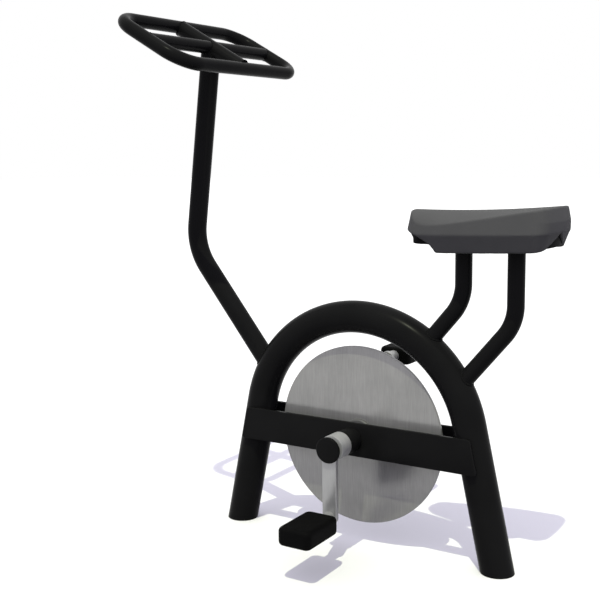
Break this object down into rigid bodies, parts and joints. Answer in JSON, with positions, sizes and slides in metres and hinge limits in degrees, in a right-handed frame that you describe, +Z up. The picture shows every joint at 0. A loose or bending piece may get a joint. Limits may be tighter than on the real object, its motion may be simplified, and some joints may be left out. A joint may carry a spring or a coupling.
{
  "type": "outdoor exercise cycle",
  "caption": "Fixed outdoor exercise cycle: steel tube arch on two legs, a disc turned by cranks and pedals, a tilted hand frame and a moulded seat.",
  "frame": {"origin": "on the floor, under the middle of the whole object", "axes": "+X forward towards the hand frame, +Y to the rider's left, +Z up"},
  "size_m": [1.0122, 0.6054, 1.2691],
  "materials": {
    "black_tube": "satin powder coat",
    "black_pressing": "satin powder coat",
    "disc_steel": "fine vertical grain, half mirror",
    "crank_steel": "satin",
    "axle_steel": "turned",
    "cap_black": "satin",
    "seat_grey": "matt moulded grain",
    "pedal_black": "matt"
  },
  "bodies": {
    "frame": {"arch_tube": "black_tube", "foot_plate_front": "black_tube", "foot_plate_rear": "black_tube", "side_plate_left": "black_tube", "side_plate_right": "black_tube", "bearing_housing_left": "black_tube", "bearing_housing_right": "black_tube", "handle_post": "black_tube", "handle_ring": "black_tube", "handle_bar_long": "black_tube", "handle_bar_left": "black_tube", "handle_bar_right": "black_tube", "seat_post_front": "black_tube", "seat_post_rear": "black_tube", "seat_base": "black_pressing", "seat_top": "seat_grey", "bearing_left": "axle_steel", "bearing_right": "axle_steel"},
    "crank": {"axle": "axle_steel", "flywheel_disc": "disc_steel", "disc_flange_left": "axle_steel", "disc_flange_right": "axle_steel", "crank_boss_left": "crank_steel", "crank_boss_right": "crank_steel", "crank_arm_left": "crank_steel", "crank_arm_right": "crank_steel", "pedal_pin_left": "crank_steel", "pedal_pin_right": "crank_steel", "axle_cap_left": "cap_black", "axle_cap_right": "cap_black"},
    "pedal_left": {"pedal_left": "pedal_black"},
    "pedal_right": {"pedal_right": "pedal_black"}
  },
  "joints": [
    {"name": "crank_spin", "type": "hinge", "parent": "frame", "child": "crank", "pos_m": [-0.02721, 0, 0.268], "axis": [0, 1, 0], "continuous": true},
    {"name": "pedal_left_spin", "type": "hinge", "parent": "crank", "child": "pedal_left", "pos_m": [-0.02721, 0.16, 0.108], "axis": [0, 1, 0], "continuous": true},
    {"name": "pedal_right_spin", "type": "hinge", "parent": "crank", "child": "pedal_right", "pos_m": [-0.02721, -0.16, 0.428], "axis": [0, 1, 0], "continuous": true}
  ]
}
